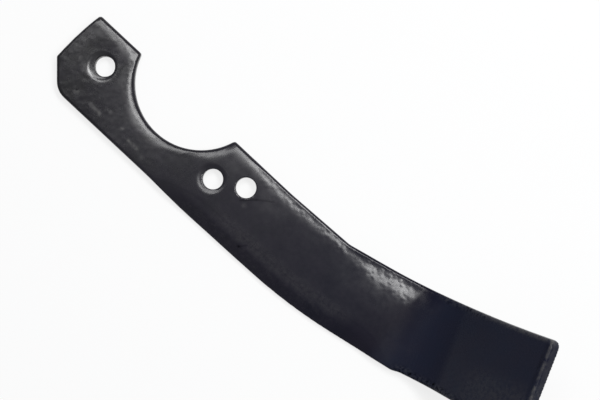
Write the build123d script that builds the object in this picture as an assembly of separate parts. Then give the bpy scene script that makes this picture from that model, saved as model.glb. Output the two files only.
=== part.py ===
from build123d import *
from math import atan2, cos, degrees, radians, sin, tan
import os

# Rotary tiller blade: one strip of spring steel, punched to shape, forged to a
# cutting edge along its leading side and bent up at the tip.
#
# The flat lies on its back face at z = 0, and the tip rises in +z. The origin
# is the centre of the first bolt hole on the back face. +x runs along the
# strip towards the tip, and +y points out of the round notch. Millimetres.

# Strip
thickness = 5.0
strip_width = 35.0
edge_above_hole = 14.1        # first bolt hole to the straight upper edge

# Rotor and bolt holes
rotor_axis = (33.6, 22.0)     # where the rotor's axis passes the blade
notch_radius = 27.5           # clears the rotor's tube
bolt_hole_radius = 4.25       # clearance for an 8 mm bolt
first_hole = (0, 0)
second_hole = (64.0, -3.5)
spare_hole = (76.4, 3.2)

# Shallow dishes that punching left on the face around two holes
first_dish_radius = 7.0
first_dish_floor = 5.1
first_dish_depth = 0.5
second_dish_radius = 5.9
second_dish_floor = 4.6
second_dish_depth = 0.3

# Head, the short end beyond the first bolt hole
head_reach = 17.3             # first bolt hole to the head's end
head_set_back = 1.7           # the end's upper corner lies this much further in
head_bow = 0.55               # the end bulges by this much
head_cut_along = 9.8          # the corner cut off the head's lower side
head_cut_across = 10.5
head_cut_round = 9.0          # rounding where the cut meets the lower edge

# Upper edge, from the notch to the tip
upper_rise_start = 92.0       # the edge begins to rise from the straight here
upper_rise_round = 60.0
upper_kink = (123.5, 15.3)    # and turns sharply here
upper_kink_round = 6.0
upper_heading = 13.3          # its direction after the kink, degrees from +x
upper_straight = 18.0         # length of the straight after the kink
upper_radius = 288.0          # radius of the long arc that carries on from it

# Lower edge, from the head to the tip
forged_start = 44.0           # the forged edge begins to stand out here
forged_full = 63.0            # and stands out most here
forged_spread = 0.65          # how far forging pushed the edge out
forged_heading = 1.0
forged_blend = 200.0          # rounding of that step, as far as its length allows
belly_apex = 121.9            # where the runs either side of the belly would meet
belly_heading = 11.2
belly_radius = 235.0
nick_past_bend = 2.0          # the nick lies this far past the start of the bend
nick_depth = 0.95
nick_length = 3.0
nick_round = 5.0
tip_lower_heading = 18.0

# Cutting bevel on the face, along the lower edge up to the nick
bevel_width = 8.5
bevel_edge = 2.6              # thickness left at the cutting edge
bevel_shoulder_in = 5.0       # the bevel turns shallower this far in from the edge
bevel_shoulder_depth = 0.4    # and lies this far below the face there
bevel_run_in = 19.0           # the bevel grows to its full width over this length
bevel_fade = 15.5             # the bevel begins to fade this far short of the nick
bevel_run_out = 9.0           # and leaves the edge over this length
bevel_run_in_radius = 40.0
bevel_run_out_radius = 14.0

# Bent tip
tip_heading = 21.75           # plan direction in which the tip rises
bend_start = 152.9            # first bolt hole to the bend, along that heading
bend_angle = 50.0
bend_radius = 27.5            # inside radius
tip_length = 45.4             # straight part of the tip, past the bend

# Corners and margins
head_corner = 1.2
tip_corner = 3.0
punch_roll = 1.0              # rounding that punching leaves along the face's rim
overlap = 8.0                 # profiles and cutters reach this far past the work
skim = 1.0                    # small margin, such as how far a slanting cutter reaches past the face
tiny = 0.001
alike = 0.9                   # cosine above which two directions count as the same

upper_y = edge_above_hole
lower_y = edge_above_hole - strip_width


def way(angle):
    """Unit vector in the plan, at an angle in degrees from +x."""
    return Vector(cos(radians(angle)), sin(radians(angle)))


def run(start, angle, reach):
    """Where a line from start, at that angle, has got as far as reach along the tip's heading."""
    tip_way = way(tip_heading)
    return start + way(angle) * ((reach - start.dot(tip_way)) / way(angle).dot(tip_way))


def tip_reach():
    """Plan distance from the first bolt hole to the furthest corner of the tip, along its heading."""
    turned = radians(bend_angle)
    return bend_start + (bend_radius + thickness) * sin(turned) + tip_length * cos(turned)


def forged_corners():
    """Corners of the forged lower edge, from where it stands out to the nick."""
    full = Vector(forged_full, lower_y - forged_spread)
    apex = full + way(forged_heading) * (belly_apex - forged_full) / cos(radians(forged_heading))
    return full, apex, run(apex, belly_heading, bend_start + nick_past_bend)


def lower_edge():
    """The lower edge: the head's cut corner, the straight, the forged belly, the nick and the tip."""
    full, apex, nick = forged_corners()
    run_in = forged_full - forged_start
    turn = atan2(forged_spread, run_in) + radians(forged_heading)
    blend = min(forged_blend, run_in / 2 / tan(turn / 2))
    step = nick + way(belly_heading) * nick_length + way(belly_heading + 90) * nick_depth
    return FilletPolyline(
        (-head_reach, lower_y + head_cut_across),
        (head_cut_along - head_reach, lower_y),
        (forged_start, lower_y),
        full,
        apex,
        nick,
        step,
        run(step, tip_lower_heading, tip_reach() + overlap),
        radius=[head_cut_round, blend, blend, belly_radius, nick_round, nick_round],
    )


def upper_edges():
    """The upper edge: straight, a slight rise, the kink, and a long arc out past the tip."""
    kink = Vector(*upper_kink)
    knee = kink + way(upper_heading) * upper_straight
    straight = FilletPolyline(
        (-head_reach + head_set_back, upper_y),
        (upper_rise_start, upper_y),
        kink,
        knee,
        radius=[upper_rise_round, upper_kink_round],
    )
    past_tip = tip_reach() + overlap - knee.dot(way(tip_heading))
    arc = JernArc(knee, way(upper_heading), upper_radius, degrees(past_tip / upper_radius))
    return straight, arc


def blade_plan():
    """The blade seen from above, run on past the tip, with the round notch cut into its upper edge."""
    lower = lower_edge()
    straight, arc = upper_edges()
    head_end = SagittaArc(straight @ 0, lower @ 0, -head_bow)
    close = Line(lower @ 1, arc @ 1)
    outline = make_face(Curve() + [head_end, lower, close, arc, straight])
    plan = outline - Location(rotor_axis) * Circle(notch_radius)
    notch_end = rotor_axis[0] + notch_radius
    corners = plan.vertices().filter_by(lambda v: abs(v.Y - upper_y) < tiny and v.X < notch_end)
    return fillet(corners, head_corner)


def bent_sheet():
    """A wide sheet, flat and then bent up at the tip: its side profile drawn out across the tip's heading."""
    side = Plane(origin=(0, 0, 0), x_dir=way(tip_heading), z_dir=way(tip_heading - 90))
    near = -head_reach - strip_width
    reach = head_reach + strip_width + tip_reach()
    back = Line((near, 0), (bend_start, 0))
    outer_arc = JernArc(back @ 1, back % 1, bend_radius + thickness, bend_angle)
    outer_tip = Line(outer_arc @ 1, outer_arc @ 1 + way(bend_angle) * tip_length)
    across = way(bend_angle + 90) * thickness
    inner_tip = Line(outer_tip @ 1 + across, outer_tip @ 0 + across)
    inner_arc = JernArc(inner_tip @ 1, inner_tip % 1, bend_radius, -bend_angle)
    face = Line(inner_arc @ 1, (near, thickness))
    ends = [Line(outer_tip @ 1, inner_tip @ 0), Line(face @ 1, back @ 0)]
    profile = make_face(Curve() + [back, outer_arc, outer_tip, inner_tip, inner_arc, face] + ends)
    return extrude(side * profile, reach, both=True)


def round_tip(blank):
    """Rounds the two corners of the tip's end, through the sheet."""
    through = way(tip_heading) * -sin(radians(bend_angle)) + Vector(0, 0, cos(radians(bend_angle)))
    beyond = bend_start + bend_radius * sin(radians(bend_angle)) + tip_length * cos(radians(bend_angle)) / 2
    corners = blank.edges().filter_by(
        lambda e: abs((e % 0).dot(through)) > alike and e.center().dot(way(tip_heading)) > beyond
    )
    return fillet(corners, tip_corner)


def roll_rim(blank):
    """Rounds the rim of the face all the way round, over the flat, the bend and the tip."""
    faces = blank.faces().filter_by(
        lambda f: f.normal_at(f.center()).Z > tiny and f.normal_at(f.center()).dot(way(tip_heading)) < tiny
    )
    edges = [edge for face in faces for edge in face.outer_wire().edges()]
    rim = [edge for edge in edges if edges.count(edge) == 1]
    return fillet(rim, punch_roll)


def bevel_cutter():
    """The steel that forging the cutting edge took off the face, drawn along the lower edge."""
    full, apex, nick = forged_corners()
    fade = nick - way(belly_heading) * bevel_fade
    run_out_tangent = bevel_run_out_radius * tan(atan2(bevel_width, bevel_run_out) / 2)
    belly_run = (fade - apex).length - run_out_tangent - skim
    belly = min(belly_radius, belly_run / tan(radians(belly_heading - forged_heading) / 2))
    out = way(-90) * bevel_width
    exit_way = way(belly_heading) * bevel_run_out + way(belly_heading - 90) * bevel_width
    path = FilletPolyline(
        full + out - Vector(bevel_run_in, 0),
        full,
        apex,
        fade,
        fade + exit_way,
        radius=[bevel_run_in_radius, belly, bevel_run_out_radius],
    )
    start = Plane(origin=path @ 0, x_dir=(path % 0).rotate(Axis.Z, 90), z_dir=path % 0)
    edge = Vector(0, bevel_edge)
    shoulder = Vector(bevel_shoulder_in, thickness - bevel_shoulder_depth)
    meets_face = Vector(bevel_width, thickness)
    outer_exit = edge + (edge - shoulder) * (overlap / bevel_shoulder_in)
    inner_exit = meets_face + (meets_face - shoulder).normalized() * skim
    top = thickness + overlap
    section = Polyline(outer_exit, shoulder, inner_exit, (inner_exit.X, top), (outer_exit.X, top), close=True)
    return sweep(start * make_face(section), path=path)


def dish(place, rim_radius, floor_radius, depth):
    """A shallow dish in the face around a hole."""
    slope = (rim_radius - floor_radius) / depth
    height = depth + skim
    upwards = (Align.CENTER, Align.CENTER, Align.MIN)
    cone = Cone(floor_radius, floor_radius + slope * height, height, align=upwards)
    return Location((*place, thickness - depth)) * cone


def bolt_holes():
    """The three round holes, through the flat."""
    hole = Cylinder(bolt_hole_radius, 2 * (thickness + overlap))
    return [Location(place) * hole for place in (first_hole, second_hole, spare_hole)]


def tiller_blade():
    """The whole blade, one solid."""
    blank = bent_sheet() & extrude(blade_plan(), tip_reach())
    blank = roll_rim(round_tip(blank))
    dishes = [
        dish(first_hole, first_dish_radius, first_dish_floor, first_dish_depth),
        dish(second_hole, second_dish_radius, second_dish_floor, second_dish_depth),
    ]
    return blank - [bevel_cutter()] - dishes - bolt_holes()


os.makedirs("parts", exist_ok=True)
blade = tiller_blade()
export_step(blade.solid(), "parts/tiller_blade.step")
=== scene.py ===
from math import cos, pi, radians, sin, tan

import bmesh
import bpy
import numpy as np
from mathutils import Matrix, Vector, kdtree, noise


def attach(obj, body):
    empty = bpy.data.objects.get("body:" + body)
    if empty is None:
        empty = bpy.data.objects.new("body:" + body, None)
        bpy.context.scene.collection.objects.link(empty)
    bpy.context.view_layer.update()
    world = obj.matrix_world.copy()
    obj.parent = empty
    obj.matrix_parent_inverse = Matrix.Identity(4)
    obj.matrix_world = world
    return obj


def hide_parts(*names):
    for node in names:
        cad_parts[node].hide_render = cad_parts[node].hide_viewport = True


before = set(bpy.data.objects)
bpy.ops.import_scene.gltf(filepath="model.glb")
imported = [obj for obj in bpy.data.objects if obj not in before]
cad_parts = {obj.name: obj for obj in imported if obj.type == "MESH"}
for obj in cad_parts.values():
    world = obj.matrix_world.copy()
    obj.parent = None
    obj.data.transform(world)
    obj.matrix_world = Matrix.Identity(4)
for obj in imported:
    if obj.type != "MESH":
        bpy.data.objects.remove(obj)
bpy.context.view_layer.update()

# The looks of the tiller blade: a finely divided copy of the CAD solid with the
# soft punched rim, the beaten patch and the black paint that the photo shows.
# Places on the blade are in the CAD's own frame, in millimetres: x runs along
# the strip towards the tip, from the first bolt hole.

MM = 0.001
TINY = 1e-6                       # as good as nothing
VOXEL = 0.5                       # size of the fine mesh's faces

# The blade's own sizes
THICKNESS = 5.0
TIP_HEADING = radians(21.75)      # plan direction in which the tip rises
BEND_START = 152.9
BEND_ANGLE = radians(50.0)
BEND_RADIUS = 27.5
ROTOR_AXIS = (33.6, 22.0)
NOTCH_RADIUS = 27.5
HOLE_RADIUS = 4.25
HOLES = ((0.0, 0.0), (64.0, -3.5), (76.4, 3.2))

# The camera: straight above the face, with the strip turned as in the photo. Metres
STRIP_TURN = radians(43.1)
CAMERA_PLACE = (0.0960, 0.0147, 0.565)
FACE_DISTANCE = 0.560
PICTURE_WIDTH = 0.246             # what the picture's width covers at the face
SENSOR = 36.0                     # millimetres

# Surroundings. Metres
AIM = (0.1, 0.0, 0.0)             # the middle of the floor, and what the lamps point at
FLOOR_HALF = 4.0
FLOOR_LOWERED = 0.0002
FLOOR_COLOUR = (0.85, 0.85, 0.85, 1)
FLOOR_WHITE = 0.8                 # how far the camera and reflections see the floor as plain white
SKY_COLOUR = (0.92, 0.95, 1.0, 1)
SKY_LEVEL = 0.2

# How the side walls are told from the rest of the mesh
WALL_RISE = 0.25                  # a wall's normal rises less than this
WALL_SHARES = (0.1, 0.7)          # and the wall's points are taken between these shares of the thickness
WALL_OFF_HOLE = 1.0               # and further than this outside the holes
WALL_ASIDE = 0.6                  # the normal of an upper or lower wall leans towards its side by more than this
NOTCH_TOP = 14.0                  # y below which a wall can be the notch's
FACE_RISE = 0.5                   # a normal on the face rises more than this
FACE_SHARE = 0.3                  # and the place is above this share of the thickness

# Each lamp: its direction in the photo and its angle from straight up in degrees, distance, size, level
LAMPS = {
    "key": (30, 27, 1.0, (1.0, 0.2), 0.8),
    "top": (106, 24, 1.2, (0.45, 0.3), 0.2),
}

# The CAD's dishes around two holes: rim and floor radius, depth. Then the same as pressed:
# the ring's centre off the hole's, its radius, half its width, and the depth inside it
DISHES = ((7.0, 5.1, 0.5), (5.9, 4.6, 0.3))
PRESSED = (((-0.85, -0.85), 5.45, 0.95, 0.36), ((-0.5, -0.3), 5.3, 1.3, 0.40))
PRESSED_REACH = 3                 # how many half widths past its ring a dish is pressed

# Spans along the strip: a feature begins at the first x and is full at the second, starts to fade at the
# third and is gone at the fourth. The bent rim goes on to the end
BEVEL_SPAN = (52, 66, 130, 148)
# The painted highlight line along the bevel
BEVEL_HIGHLIGHT_SPAN = (66, 84, 135, 150)
BENT_RIM_SPAN = (122, 130)
WRINKLE_SPAN = (68, 86, 122, 130)
BEATEN_SPAN = (70, 80, 154, 166)
PATCH_SPAN = (122, 140, 156, 159)
PAST_PATCH_SPAN = (156.5, 159.5, 164, 176)
RIM_FLECK_SPAN = (162, 168, 180, 186)
NICK_SPAN = (168, 174, 190, 200)

# The bevel's evening out: the span across it from the lower edge, where it starts, how often and how far
# each height goes to the mean of its neighbours. Then the swell that stands in for its two flats:
# the distance of its crest from the lower edge, its half width and its height
BEVEL_ACROSS = (0.6, 1.6, 9, 11)
BEVEL_FROM = 30
SETTLE_TIMES = 40
SETTLE_STEP = 0.7
BEVEL_SWELL = (5, 2.2, 0.2)

# The hollow around the first hole: its middle, its floor's and its rim's radius, its depth
HOLLOW = ((-3.0, 1.0), (3.5, 9.5), 0.2)

# The rim's soft roll: x, how far in from the edge it reaches, its depth at the edge
EDGE_ROLL = ((-4, 4.0, 0.85), (1, 5.6, 1.05), (6, 6.5, 1.1), (62, 5.0, 0.9), (68, 5.2, 1.05), (80, 6.0, 1.1))
NOTCH_ROLL = ((6, 7.5, 1.2), (10, 5.6, 1.25), (15, 4.7, 1.4), (23, 6.2, 1.4), (34, 5.2, 1.1), (49, 3.6, 0.28),
              (57, 4.6, 0.8), (60, 5.0, 0.9))
ROLL_OVERLAP = 0.4                # how much less two rolls draw down the corner where they meet
WAVER = (0.12, 9, 1, 2)           # the roll's unevenness: how much, how long, its seed and its octaves

# Where the upper edge is beaten down: x, and there its strength, its middle's distance from the edge,
# and half its width. Its fall for each millimetre of half width, and how abrupt it is
BEATEN = (
    (70, 84, 101, 110, 119, 124, 131, 137, 146, 156),
    (1.0, 1.05, 0.85, 0.9, 1.0, 0.7, 0.5, 0.9, 1.0, 1.0),
    (2.0, 2.9, 2.9, 2.5, 1.9, 3.0, 4.0, 4.6, 5.4, 5.7),
    (1.2, 1.8, 1.9, 1.6, 1.3, 1.5, 2.0, 2.4, 3.4, 3.5),
)
BEATEN_FALL = 0.19
BEATEN_ABRUPT = 1.13
PATCH_REACH = 1.3                 # the patch's lumps and shine reach this many half widths from its middle

# The noise for lumps and mottling: how much each finer octave weakens, how much finer it is, and the step
# from one seed to the next
CLOUD = (0.6, 2.0)
SEED_STEP = (17.3, 5.1, 9.7)

# Lumps in the relief: their height, size and seed
WRINKLES = (0.07, 1.5, 2)
WRINKLES_ACROSS = (3.2, 3.4)      # the wrinkles' distance from the upper edge, and half width
PATCH_LUMPS = ((0.12, 2.4, 3), (0.035, 1.2, 6))
RIM_GRAIN = (0.03, 1.0, 8)
RIM_GRAIN_REACH = (2.0, 4.5)      # where it starts to fade, and ends
NICK_FLECKS = ((0.8, 1.3, 7), (0.4, 0.8, 12))
NICK_DEPTH = 0.08                 # height of the flecks in the relief
NICK_REACH = (1.5, 4.0)           # where they start to fade, in from the lower edge, and end
NICK_TONE = (0.22, 2.0, 0.1)      # how scuffed their ground is, how much darker they are, how far they spread
HEAD_LUMPS = (0.03, 2.6, 4)
HEAD_LUMPS_END = (30, 70)

# Mottling of the paint: its strength, size and seed
HAZE_MOTTLE = (0.6, 4, 5)
HEAD_MOTTLE = (0.12, 1.8, 13)
BEVEL_MOTTLE = (0.12, 1.6, 11)
RIM_FLECKS = (1.6, 1.3, 9)
RIM_FLECK_GROUND = 0.2            # how much lighter the upper rim is between the flecks
RIM_FLECK_REACH = (1.0, 3.0)      # where they start to fade, in from the upper edge, and end
END_MOTTLE = (1.2, 2.0, 10)

# The paint's haze beside the punched edges: x, and how much there. How far from the edge it begins and is full,
# then from where it fades and over what distance. There is none around the first hole: how far from
# the hole's middle it begins and is full
HAZE_ALONG = ((-16, 5, 18, 36, 50, 66, 90, 120), (0.5, 0.6, 1.0, 1.0, 0.35, 0.8, 0.7, 0.4))
HAZE_GAP = (2.5, 5.0)
HAZE_FADE = (4.5, 7.0)
HAZE_FREE = (6.5, 9.5)

# More haze: spots, by place, reach and strength, and a stretch beside the patch, by x and its reach,
# distance from the edge and its reach, and strength
HAZE_SPOTS = (((66, 8), 4.5, 0.8), ((88, 5), 5, 0.55))
HAZE_BY_PATCH = (143, 13, 11, 6, 0.7)

# How the paint grows duller towards the tip: by how much, and from where to where along the tip's heading
TIP_DULL = ((0.08, 120, 145), (0.54, 147.5, 158), (0.12, 167, 182))

# Other dull places: how dull, and how far from the edge they start to fade and end
PAST_PATCH_DULL = (0.8, 6, 13)
BENT_RIM_DULL = (0.65, 1.0, 2.4)
HOLE_DULL = (0.7, 0.2, 0.7)

# Places that shine more: the first dish's lit side, by strength, half width and how softly it ends,
# and the patch, by strength
CRESCENT_SHINE = (0.9, 1.2, 3)
PATCH_SHINE = 0.4

# At the tip's end, along its heading: a dark line of painted shade and a light line of painted highlight, each
# its place and half width, and where the end face starts
END_SHADE_LINE = (201.8, 0.5)
END_HIGHLIGHT_LINE = (203.0, 0.6)
END_FACE = (202.0, 202.8)
BY_FACE = 0.7                     # both lines lie above this share of the thickness
END_TONE_BASE = 0.9                    # how strong the end's painted lines and its lighter face are, before their mottling
END_TONES = (0.25, 0.45, 0.14)    # how much darker the painted shade line is, how much lighter the painted highlight line, and how much lighter the end face

# Other lighter and darker places: how much, and where. The head's lower side, darkened as painted shade, by y
# and x; the painted highlight line along the bevel's upper side by the distance from the lower edge; the tip's
# lighter upper rim and its lower side by the distance along its heading and from the upper edge
HEAD_SHADE = (0.2, (-13, 3), (5, 25))
HEAD_MOTTLE_END = (20, 60)
BEVEL_HIGHLIGHT_LINE = (0.15, 8.5, 3.0)
BEVEL_MOTTLE_END = (4, 8)
TIP_RIM = (0.5, (172, 190), (0.6, 2.2))
TIP_RIM_SHARE = 0.5               # the lighter rim lies above this share of the thickness
TIP_LOWER = (0.2, (174, 190), (16, 28))

# Marks in the paint: start, end, half width, strength (below 0 is darker than the paint)
MARKS = (
    ((-1.9, -15.6), (-0.8, -15.2), 0.9, 0.8),
    ((-1.9, -14.8), (-1.9, -14.8), 0.5, -1.0),
    ((6.5, -15.4), (11.7, -15.6), 0.8, 0.9),
    ((14.7, -12.2), (14.7, -12.2), 0.6, 1.0),
    ((22.8, -13.6), (22.8, -13.6), 0.55, 1.2),
    ((27.9, -15.5), (32.6, -15.7), 0.6, 0.9),
    ((36.6, -17.0), (36.6, -17.0), 0.65, 1.0),
    ((78.3, -2.1), (83.0, 2.6), 0.35, -0.5),
    ((83.0, 2.6), (88.5, 6.6), 0.35, -0.35),
    ((80.9, -2.6), (80.9, -2.6), 0.9, 0.35),
    ((90.6, -16.5), (90.6, -16.5), 0.6, -0.6),
    ((90.6, -16.5), (92.7, -13.9), 0.35, -0.4),
)

# The paint's colour along the way from the first bolt hole (0) to TINT_END (1), and its other colours. Along the
# way its darkening from the head into the bend is painted shade, and it turns bluish towards the tip
TINTS_WITH_PAINTED_SHADE = (
    (0.0, (0.0130, 0.0125, 0.0140)),
    (0.53, (0.0102, 0.0094, 0.0150)),
    (0.78, (0.0040, 0.0040, 0.0110)),
    (0.93, (0.0042, 0.0036, 0.0105)),
    (0.99, (0.0086, 0.0108, 0.0225)),
)
TINT_END = 0.17                   # metres
MOTTLE_TINT = (0.0120, 0.0098, 0.0180)
# The colour of scuffs, which also makes the painted highlights, and of dark marks, which also makes the painted
# shade
SCUFF_AND_HIGHLIGHT_TINT = (0.075, 0.073, 0.072)
DARK_TINT = (0.003, 0.003, 0.004)
MOTTLE_LESS = (0.5, 0.9, 1.0, 0.6)      # where on that way the mottling weakens, and from what to what
HAZE_ROUGHNESS = 0.11
SCUFF_AND_HIGHLIGHT_ROUGHNESS = 0.2
SHEEN = 0.5                       # specular level of the clean paint
GRAIN = (0.25, 0.00003)           # the paint's grain: strength, height in metres
GRAIN_NOISE = (1800.0, 3.0)       # and its scale and detail

# Noises in the paint: scale, the range of the noise that counts, and what its two ends become
MOTTLE = (110.0, 0.35, 0.65, 0.0, 0.5)            # how much of the mottling's tint shows
SCUFF_AND_HIGHLIGHT_NOISE = (700.0, 0.35, 0.6, 0.2, 1.0)               # how much of a scuff and of a painted highlight shows
HAZE_UNEVEN = (260.0, 0.3, 0.7, 0.8, 1.2)         # what the haze is multiplied by
ROUGHNESS = (450.0, 0.3, 0.7, 0.235, 0.265)       # the clean paint's
ROUGHNESS_DRIFT = (140.0, 0.35, 0.65, -0.008, 0.008)


def rise(low, high, value):
    """0 up to low and 1 from high on, with a smooth rise between."""
    t = np.clip((value - low) / (high - low), 0, 1)
    return t * t * (3 - 2 * t)


def fall(low, high, value):
    """1 up to low and 0 from high on, with a smooth fall between."""
    return 1 - rise(low, high, value)


def stretch(span, value):
    """1 within a span and 0 outside it, with a smooth start and end."""
    start, full, fade, end = span
    return rise(start, full, value) * fall(fade, end, value)


def bump(value, centre, reach):
    """1 at the centre, falling smoothly to nothing."""
    return np.exp(-((value - centre) / reach) ** 2)


# The blade's mesh

def dense_copy(node, name):
    """A finely divided copy of a CAD node, with nearly square faces."""
    mesh = node.data.copy()
    work = bmesh.new()
    work.from_mesh(mesh)
    bmesh.ops.remove_doubles(work, verts=work.verts, dist=TINY)
    work.to_mesh(mesh)
    work.free()
    piece = bpy.data.objects.new(name, mesh)
    bpy.context.scene.collection.objects.link(piece)
    remesh = piece.modifiers.new("remesh", "REMESH")
    remesh.mode = "VOXEL"
    remesh.voxel_size = VOXEL * MM
    graph = bpy.context.evaluated_depsgraph_get()
    dense = bpy.data.meshes.new_from_object(piece.evaluated_get(graph))
    piece.modifiers.clear()
    piece.data = dense
    dense.name = name
    return piece


def read_vectors(mesh, what):
    values = np.zeros(len(mesh.vertices) * 3)
    mesh.vertices.foreach_get(what, values)
    return values.reshape(-1, 3)


def sheet_heights(x, y):
    """Heights of the face and of the back above the ground, at places in the plan."""
    past = x * cos(TIP_HEADING) + y * sin(TIP_HEADING) - BEND_START

    def height(radius, flat):
        end = radius * sin(BEND_ANGLE)
        arc = THICKNESS + BEND_RADIUS - np.sqrt(radius ** 2 - np.clip(past, 0, end) ** 2)
        return np.where(past <= 0, flat, arc + np.maximum(past - end, 0) * tan(BEND_ANGLE))

    return height(BEND_RADIUS, THICKNESS), height(BEND_RADIUS + THICKNESS, 0.0)


def nearest(plan, walls):
    """Distance in the plan from each point to the nearest of some wall points."""
    tree = kdtree.KDTree(len(walls))
    for number, (x, y) in enumerate(walls):
        tree.insert((x, y, 0), number)
    tree.balance()
    return np.array([tree.find((x, y, 0))[2] for x, y in plan])


def cloud(points, size, seed, octaves=3):
    """Smooth noise from about -1 to 1 over the points, with lumps of that size."""
    shift = Vector([seed * step for step in SEED_STEP])
    return np.array([noise.fractal(Vector(p) / size + shift, *CLOUD, octaves) for p in points])


def lumps(points, height, size, seed, octaves=3):
    return height * cloud(points, size, seed, octaves)


class Places:
    """Where each point of the fine mesh is on the blade, as arrays."""

    def __init__(self, mesh):
        self.points = read_vectors(mesh, "co") / MM
        normals = read_vectors(mesh, "normal")
        x, y, z = self.x, self.y, self.z = self.points.T
        face, back = sheet_heights(x, y)
        self.share = np.clip((z - back) / (face - back), 0, 1)   # 0 on the back, 1 on the face
        self.level = (normals[:, 2] > FACE_RISE) & (self.share > FACE_SHARE)
        self.along_tip = x * cos(TIP_HEADING) + y * sin(TIP_HEADING)

        # Distance from each edge of the plan, by the side walls that stand on it
        low, high = WALL_SHARES
        wall = (np.abs(normals[:, 2]) < WALL_RISE) & (self.share > low) & (self.share < high)
        for hole in HOLES:
            wall &= self.distance(hole) > HOLE_RADIUS + WALL_OFF_HOLE
        notch_wall = wall & (np.abs(self.distance(ROTOR_AXIS) - NOTCH_RADIUS) < VOXEL) & (y < NOTCH_TOP)
        top_wall = wall & ~notch_wall & (normals[:, 1] > WALL_ASIDE)
        lower_wall = wall & (normals[:, 1] < -WALL_ASIDE)
        plan = self.points[:, :2]
        self.notch_gap, self.top_gap, self.lower_gap = (
            nearest(plan, plan[walls]) for walls in (notch_wall, top_wall, lower_wall)
        )
        self.punched_gap = np.minimum(self.notch_gap, self.top_gap)

        # What both the relief and the paint follow: the beaten edge, with the distance from its middle
        # in half widths, and the rough spots past the nick
        self.waver = 1 + lumps(self.points * (1, 1, 0), *WAVER)
        strength, middle, half = (np.interp(x, BEATEN[0], row) for row in BEATEN[1:])
        self.beaten = stretch(BEATEN_SPAN, x) * strength * half
        self.off_middle = (self.top_gap * self.waver - middle) / half
        self.patch = stretch(PATCH_SPAN, x) * bump(self.off_middle, 0, PATCH_REACH)
        self.rough = stretch(NICK_SPAN, x) * fall(*NICK_REACH, self.lower_gap) * self.level
        self.flecks = sum(lumps(self.points, *fleck) for fleck in NICK_FLECKS)

    def distance(self, place):
        """Distance in the plan from a place."""
        return np.hypot(self.x - place[0], self.y - place[1])


# The blade's shape

def settle(edges, height, mask):
    """Evens out the heights along the mesh, as far as the mask says."""
    a, b = edges[:, 0], edges[:, 1]
    count = np.zeros(len(height))
    np.add.at(count, a, 1)
    np.add.at(count, b, 1)
    for _ in range(SETTLE_TIMES):
        total = np.zeros(len(height))
        np.add.at(total, a, height[b])
        np.add.at(total, b, height[a])
        height = height + mask * (total / np.maximum(count, 1) - height) * SETTLE_STEP
    return height


def soften_bevel(mesh, at):
    """The heights with the bevel's borders evened out, and its two flats turned into one soft swell."""
    edges = np.zeros(len(mesh.edges) * 2, int)
    mesh.edges.foreach_get("vertices", edges)
    soft = stretch(BEVEL_ACROSS, at.lower_gap) * (at.x > BEVEL_FROM) * at.level
    z = settle(edges.reshape(-1, 2), at.z, soft)
    crest, half, height = BEVEL_SWELL
    return z + height * stretch(BEVEL_SPAN, at.x) * at.level * bump(at.lower_gap, crest, half)


def press_dishes(at, z):
    """The heights with the dishes around two holes pressed a little to one side."""
    for hole, (rim, floor, depth), (shift, ring, half, sunk) in zip(HOLES, DISHES, PRESSED):
        radius = at.distance(hole)
        top = THICKNESS - depth * np.clip((rim - radius) / (rim - floor), 0, 1)
        off = at.distance((hole[0] + shift[0], hole[1] + shift[1]))
        pressed = THICKNESS - sunk * fall(ring - half, ring + half, off)
        z = np.where(radius < ring + PRESSED_REACH * half, np.where(at.level, pressed, z * pressed / top), z)
    return z


def roll(gap, x, stations):
    """The soft roll that the punch left: how far the face is drawn down at a distance from an edge."""
    places, reaches, depths = zip(*stations)
    reach = np.interp(x, places, reaches)
    return np.interp(x, places, depths) * np.clip(1 - gap / reach, 0, 1) ** 2


def relief(at):
    """How far the face is drawn down at each place."""
    x, points = at.x, at.points

    # A hollow around the first hole, and the punched rims
    middle, reach, depth = HOLLOW
    drop = depth * fall(*reach, at.distance(middle))
    at_top = roll(at.top_gap * at.waver, x, EDGE_ROLL) * fall(*BEATEN_SPAN[:2], x)
    at_notch = roll(at.notch_gap * at.waver, x, NOTCH_ROLL)
    drop += at_top + at_notch - ROLL_OVERLAP * at_top * at_notch
    drop += fall(*RIM_GRAIN_REACH, at.punched_gap) * lumps(points, *RIM_GRAIN)

    # The upper edge, beaten down past the notch, and most in a patch by the start of the bend
    drop += BEATEN_FALL * at.beaten * (1 - np.tanh(BEATEN_ABRUPT * at.off_middle))
    middle, half = WRINKLES_ACROSS
    band = stretch(WRINKLE_SPAN, x) * np.clip(1 - np.abs(at.top_gap - middle) / half, 0, 1)
    drop += band * lumps(points, *WRINKLES)
    drop += at.patch * sum(lumps(points, *lump) for lump in PATCH_LUMPS)

    # The rough spots past the nick, and the head's faint unevenness
    drop += NICK_DEPTH * at.rough * at.flecks
    drop += fall(*HEAD_LUMPS_END, x) * at.level * lumps(points, *HEAD_LUMPS)
    return drop


# What the paint needs to know of each place

def mark(at, start, end, half, strength):
    """A light (or, below 0, a dark) mark along a short line on the face."""
    along = np.array(end) - start
    t = ((at.x - start[0]) * along[0] + (at.y - start[1]) * along[1]) / max(along @ along, TINY)
    t = np.clip(t, 0, 1)
    gap = np.hypot(at.x - start[0] - t * along[0], at.y - start[1] - t * along[1])
    return strength * bump(gap, 0, half)


def haze(at):
    """How hazy the paint is: near the punched edges, beside the patch and in two spots."""
    gap = at.punched_gap
    start, third = HAZE_FADE
    amount = np.exp(-np.clip(gap - start, 0, None) / third) * rise(*HAZE_GAP, gap)
    amount *= np.interp(at.x, *HAZE_ALONG) * rise(*HAZE_FREE, at.distance(HOLES[0]))
    x, along, middle, across, strength = HAZE_BY_PATCH
    amount += strength * bump(at.x, x, along) * bump(gap, middle, across)
    amount += sum(strength * bump(at.distance(place), 0, reach) for place, reach, strength in HAZE_SPOTS)
    return amount * (1 + lumps(at.points, *HAZE_MOTTLE))


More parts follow.
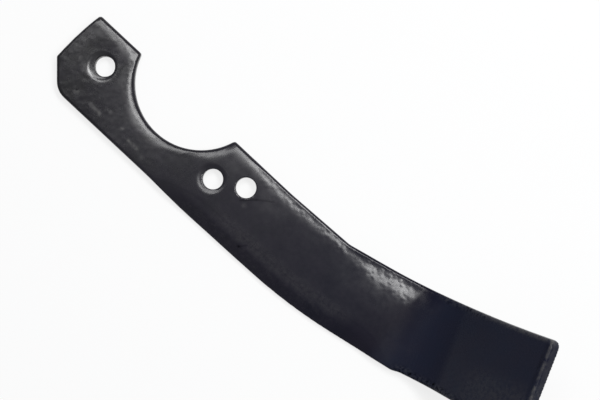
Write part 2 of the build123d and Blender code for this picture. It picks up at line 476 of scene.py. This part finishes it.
def dull(at):
    """How dull the paint is. Below 0 it shines more."""
    tip = sum(part * rise(low, high, at.along_tip) for part, low, high in TIP_DULL)
    part, low, high = PAST_PATCH_DULL
    past_patch = part * stretch(PAST_PATCH_SPAN, at.x) * fall(low, high, at.top_gap)
    part, low, high = BENT_RIM_DULL
    rim = part * rise(*BENT_RIM_SPAN, at.x) * fall(low, high, at.top_gap)
    part, low, high = HOLE_DULL
    hole = part * fall(low, high, at.distance(HOLES[0]) - HOLE_RADIUS)
    shine, half, soft = CRESCENT_SHINE
    shift, ring = PRESSED[0][:2]
    crescent = shine * bump(at.distance(shift), ring, half) * fall(-soft, soft, at.x + at.y)
    return np.maximum.reduce((tip, past_patch, rim, hole)) - crescent - PATCH_SHINE * at.patch


def scuff_and_painted_light(at):
    """How scuffed the paint is, with painted highlights and painted shade in it. Below 0 it is darker."""
    x, points, level, along_tip = at.x, at.points, at.level, at.along_tip
    amount = sum(mark(at, *m) for m in MARKS) * level

    # The head: painted shade on its lower side, and mottled
    part, across, along = HEAD_SHADE
    amount -= part * fall(*across, at.y) * fall(*along, x)
    amount += fall(*HEAD_MOTTLE_END, x) * level * lumps(points, *HEAD_MOTTLE)

    # The bevel: mottled, with a painted highlight line along its upper side
    on_bevel = stretch(BEVEL_SPAN, x) * level * fall(*BEVEL_MOTTLE_END, at.lower_gap)
    amount += on_bevel * lumps(points, *BEVEL_MOTTLE)
    part, middle, half = BEVEL_HIGHLIGHT_LINE
    amount += part * stretch(BEVEL_HIGHLIGHT_SPAN, x) * level * bump(at.lower_gap, middle, half)

    # The bend: rough spots past the nick, and flecks along the upper rim
    ground, darker, spread = NICK_TONE
    amount += at.rough * (ground - darker * np.clip(at.flecks + spread, 0, 1))
    on_rim = stretch(RIM_FLECK_SPAN, x) * fall(*RIM_FLECK_REACH, at.top_gap)
    darker, size, seed = RIM_FLECKS
    amount += on_rim * (RIM_FLECK_GROUND - darker * np.clip(cloud(points, size, seed), 0, 1))

    # The tip: lighter along its upper edge and on its lower side, with a dark line of painted shade and a light
    # line of painted highlight at its end
    part, along, across = TIP_RIM
    amount += part * rise(*along, along_tip) * fall(*across, at.top_gap) * (at.share > TIP_RIM_SHARE)
    part, along, across = TIP_LOWER
    amount += part * rise(*along, along_tip) * rise(*across, at.top_gap)
    uneven = END_TONE_BASE + lumps(points, *END_MOTTLE)
    by_face = at.share > BY_FACE
    dark, light, face = END_TONES
    amount -= dark * uneven * bump(along_tip, *END_SHADE_LINE) * by_face
    amount += uneven * (face + light * bump(along_tip, *END_HIGHLIGHT_LINE) * by_face) * rise(*END_FACE, along_tip)
    return amount


def shape_blade(blade):
    mesh = blade.data
    at = Places(mesh)
    for name, values in (("haze", haze(at)), ("dull", dull(at)), ("scuff_and_painted_light", scuff_and_painted_light(at))):
        mesh.attributes.new(name, "FLOAT", "POINT").data.foreach_set("value", values.astype(np.float32))
    z = press_dishes(at, soften_bevel(mesh, at)) - relief(at) * at.share
    points = np.column_stack((at.x, at.y, np.maximum(z, 0)))
    mesh.vertices.foreach_set("co", (points * MM).ravel())
    mesh.update()


# Camera, lights and surroundings

def make_camera():
    data = bpy.data.cameras.new("camera")
    data.sensor_width = SENSOR
    data.lens = SENSOR * FACE_DISTANCE / PICTURE_WIDTH
    camera = bpy.data.objects.new("camera", data)
    camera.location = CAMERA_PLACE
    camera.rotation_euler = (0.0, 0.0, STRIP_TURN)
    bpy.context.scene.collection.objects.link(camera)
    bpy.context.scene.camera = camera


def floor_material():
    """Matt white that takes the shadow, and that the camera and reflections see as nearly plain white."""
    material = bpy.data.materials.new("floor_white")
    material.use_nodes = True
    tree = material.node_tree
    tree.nodes.clear()
    out = tree.nodes.new("ShaderNodeOutputMaterial")
    matt = tree.nodes.new("ShaderNodeBsdfDiffuse")
    matt.inputs["Color"].default_value = FLOOR_COLOUR
    white = tree.nodes.new("ShaderNodeEmission")
    white.inputs["Strength"].default_value = 1.0
    mix = tree.nodes.new("ShaderNodeMixShader")
    path = tree.nodes.new("ShaderNodeLightPath")
    seen = path.outputs["Is Camera Ray"]
    for kind in ("Is Glossy Ray", "Is Transmission Ray"):
        either = tree.nodes.new("ShaderNodeMath")
        either.operation = "MAXIMUM"
        tree.links.new(seen, either.inputs[0])
        tree.links.new(path.outputs[kind], either.inputs[1])
        seen = either.outputs[0]
    part = tree.nodes.new("ShaderNodeMath")
    part.operation = "MULTIPLY"
    part.inputs[1].default_value = FLOOR_WHITE
    tree.links.new(seen, part.inputs[0])
    tree.links.new(part.outputs[0], mix.inputs["Fac"])
    tree.links.new(matt.outputs[0], mix.inputs[1])
    tree.links.new(white.outputs[0], mix.inputs[2])
    tree.links.new(mix.outputs[0], out.inputs["Surface"])
    return material


def make_floor():
    mesh = bpy.data.meshes.new("floor")
    corners = [(x * FLOOR_HALF, y * FLOOR_HALF, 0) for x, y in ((-1, -1), (1, -1), (1, 1), (-1, 1))]
    mesh.from_pydata(corners, [], [(0, 1, 2, 3)])
    mesh.materials.append(floor_material())
    floor = bpy.data.objects.new("floor", mesh)
    floor.location = (AIM[0], AIM[1], -FLOOR_LOWERED)
    bpy.context.scene.collection.objects.link(floor)


def make_lamp(name, picture_angle, off_zenith, distance, size, level):
    """A soft lamp. The level is the light that it gives to the ground under it, where 1 shows a colour
    as it is written."""
    turn = radians(picture_angle) + STRIP_TURN
    lean = radians(off_zenith)
    aim = Vector(AIM)
    place = aim + Vector((cos(turn) * sin(lean), sin(turn) * sin(lean), cos(lean))) * distance
    data = bpy.data.lights.new(name, "AREA")
    data.shape = "RECTANGLE"
    data.size, data.size_y = size
    data.energy = level * (pi * distance) ** 2 / cos(lean)
    lamp = bpy.data.objects.new(name, data)
    lamp.location = place
    lamp.rotation_euler = (aim - place).to_track_quat("-Z", "Y").to_euler()
    bpy.context.scene.collection.objects.link(lamp)


def make_world():
    world = bpy.data.worlds.new("world")
    world.use_nodes = True
    back = world.node_tree.nodes["Background"]
    back.inputs["Color"].default_value = SKY_COLOUR
    back.inputs["Strength"].default_value = SKY_LEVEL
    bpy.context.scene.world = world


# The paint

class Paint:
    """Small helpers to build the paint's node tree."""

    def __init__(self, tree):
        self.tree = tree
        self.place = self.node("ShaderNodeTexCoord").outputs["Object"]

    def node(self, kind, **settings):
        node = self.tree.nodes.new(kind)
        for name, value in settings.items():
            setattr(node, name, value)
        return node

    def attribute(self, name):
        return self.node("ShaderNodeAttribute", attribute_name=name).outputs["Fac"]

    def noise(self, scale, detail=4.0, roughness=0.6):
        node = self.node("ShaderNodeTexNoise")
        self.tree.links.new(self.place, node.inputs["Vector"])
        node.inputs["Scale"].default_value = scale
        node.inputs["Detail"].default_value = detail
        node.inputs["Roughness"].default_value = roughness
        return node.outputs["Fac"]

    def span(self, value, low, high, to_low, to_high):
        """Maps a value from one range to another."""
        node = self.node("ShaderNodeMapRange")
        self.tree.links.new(value, node.inputs["Value"])
        for name, number in zip(("From Min", "From Max", "To Min", "To Max"), (low, high, to_low, to_high)):
            node.inputs[name].default_value = number
        return node.outputs["Result"]

    def varied(self, scale, low, high, to_low, to_high):
        """Noise with a range of it mapped to another."""
        return self.span(self.noise(scale), low, high, to_low, to_high)

    def ramp(self, value, stops):
        """A colour from stops, each a place from 0 to 1 and a colour."""
        node = self.node("ShaderNodeValToRGB")
        self.tree.links.new(value, node.inputs["Fac"])
        elements = node.color_ramp.elements
        while len(elements) < len(stops):
            elements.new(0.5)
        for element, (place, colour) in zip(elements, stops):
            element.position = place
            element.color = (*colour, 1)
        return node.outputs["Color"]

    def maths(self, operation, a, b):
        node = self.node("ShaderNodeMath", operation=operation)
        for socket, value in zip(node.inputs, (a, b)):
            if isinstance(value, (int, float)):
                socket.default_value = value
            else:
                self.tree.links.new(value, socket)
        return node.outputs[0]

    def mix(self, factor, a, b):
        node = self.node("ShaderNodeMix", data_type="RGBA")
        self.tree.links.new(factor, node.inputs["Factor"])
        for socket, colour in ((node.inputs[6], a), (node.inputs[7], b)):
            if isinstance(colour, tuple):
                socket.default_value = (*colour, 1)
            else:
                self.tree.links.new(colour, socket)
        return node.outputs[2]


def paint_material():
    """Thin black paint: near neutral on the head and bluish towards the tip, with painted shade darkening it
    into the bend, hazy near the punched edges, with light scuffs, painted highlight lines and painted shade."""
    material = bpy.data.materials.new("blade_paint")
    material.use_nodes = True
    paint = Paint(material.node_tree)
    shader = material.node_tree.nodes["Principled BSDF"]
    link = material.node_tree.links.new

    # Colour: painted shade along the strip, mottling, then scuffs and painted highlights that lighten it, and
    # dark marks and painted shade that darken it
    position = paint.node("ShaderNodeSeparateXYZ")
    link(paint.place, position.inputs[0])
    towards_tip = paint.span(position.outputs["X"], 0.0, TINT_END, 0.0, 1.0)
    colour = paint.ramp(towards_tip, TINTS_WITH_PAINTED_SHADE)
    mottle = paint.maths("MULTIPLY", paint.varied(*MOTTLE), paint.span(towards_tip, *MOTTLE_LESS))
    colour = paint.mix(mottle, colour, MOTTLE_TINT)
    # Scuffs and painted highlights lighten the colour; dark marks and painted shade darken it
    scuffed_and_lit = paint.span(paint.attribute("scuff_and_painted_light"), 0.0, 1.0, 0.0, 1.0)
    light = paint.maths("MULTIPLY", scuffed_and_lit, paint.varied(*SCUFF_AND_HIGHLIGHT_NOISE))
    colour = paint.mix(light, colour, SCUFF_AND_HIGHLIGHT_TINT)
    dark = paint.span(paint.attribute("scuff_and_painted_light"), 0.0, -1.0, 0.0, 1.0)
    colour = paint.mix(dark, colour, DARK_TINT)
    link(colour, shader.inputs["Base Color"])

    # Roughness: the clean paint's, and what haze, scuffs and painted highlights add
    hazy = paint.maths("MULTIPLY", paint.attribute("haze"), paint.varied(*HAZE_UNEVEN))
    rough = paint.maths("ADD", paint.maths("MULTIPLY", hazy, HAZE_ROUGHNESS), paint.varied(*ROUGHNESS))
    rough = paint.maths("ADD", rough, paint.varied(*ROUGHNESS_DRIFT))
    rough = paint.maths("ADD", rough, paint.maths("MULTIPLY", light, SCUFF_AND_HIGHLIGHT_ROUGHNESS))
    link(rough, shader.inputs["Roughness"])

    # Sheen, which dull places, dark marks and painted shade lack
    sheen = paint.maths("SUBTRACT", SHEEN, paint.maths("MULTIPLY", paint.attribute("dull"), SHEEN))
    sheen = paint.maths("MULTIPLY", sheen, paint.maths("SUBTRACT", 1.0, dark))
    link(sheen, shader.inputs["Specular IOR Level"])

    grain = paint.node("ShaderNodeBump")
    grain.inputs["Strength"].default_value, grain.inputs["Distance"].default_value = GRAIN
    link(paint.noise(*GRAIN_NOISE), grain.inputs["Height"])
    link(grain.outputs["Normal"], shader.inputs["Normal"])
    return material


make_camera()
make_floor()
make_world()
for name, settings in LAMPS.items():
    make_lamp(name, *settings)

blade = dense_copy(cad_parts["tiller_blade"], "blade")
shape_blade(blade)
blade.data.materials.clear()
blade.data.materials.append(paint_material())
blade.data.shade_smooth()
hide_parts("tiller_blade")
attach(blade, "root")

bpy.context.scene.view_settings.view_transform = "Standard"
